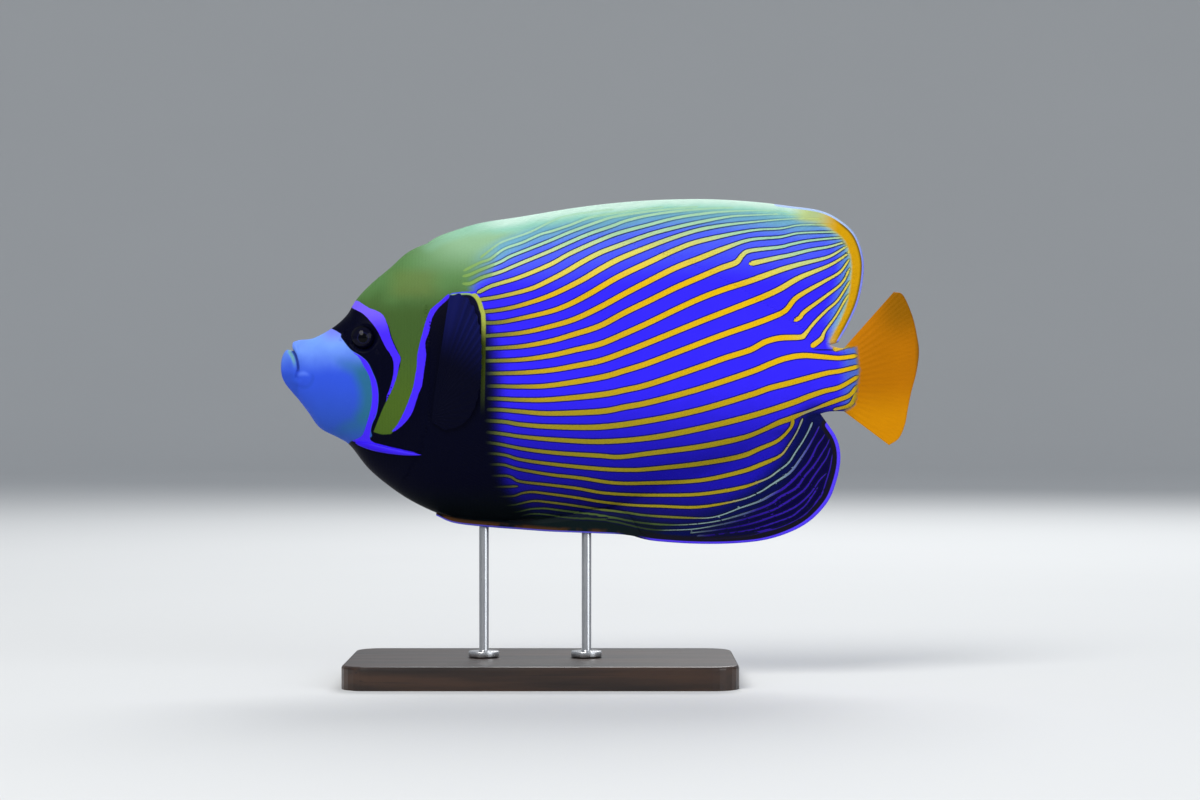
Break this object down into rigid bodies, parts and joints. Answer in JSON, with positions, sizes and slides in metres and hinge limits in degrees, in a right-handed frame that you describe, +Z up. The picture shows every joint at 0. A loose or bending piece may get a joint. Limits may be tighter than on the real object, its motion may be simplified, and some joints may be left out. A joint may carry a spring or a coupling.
{
  "type": "emperor angelfish model on display stand",
  "caption": "Adult emperor angelfish, a life-size still model with striped flanks, folded fins and a swung tail, held above a flat wooden base by slim steel rods.",
  "frame": {"origin": "middle of the model's box, at floor level under the stand", "axes": "+Z up, +X from snout to tail, +Y towards the fish's right flank"},
  "size_m": [0.33, 0.11, 0.2489],
  "materials": {
    "fish_skin": "satin scaled skin, blue with yellow stripes",
    "tail_membrane": "satin orange rayed fin",
    "paired_fin": "satin dark rayed fin",
    "eye": "wet gloss",
    "cheek_spine": "smooth satin",
    "stand_wood": "satin lacquer over dark stain",
    "stand_steel": "brushed along the rod"
  },
  "bodies": {
    "root": {"head": "fish_skin", "lower_jaw": "fish_skin", "upper_lip": "fish_skin", "trunk": "fish_skin", "tail_stalk": "fish_skin", "dorsal_fin": "fish_skin", "anal_fin": "fish_skin", "tail_fin": "tail_membrane", "pectoral_fin_left": "paired_fin", "pectoral_fin_right": "paired_fin", "pelvic_fin_left": "paired_fin", "pelvic_fin_right": "paired_fin", "eye_left": "eye", "eye_right": "eye", "cheek_spine_left": "cheek_spine", "cheek_spine_right": "cheek_spine", "stand_base": "stand_wood", "stand_rod_front": "stand_steel", "stand_rod_rear": "stand_steel"}
  },
  "joints": []
}
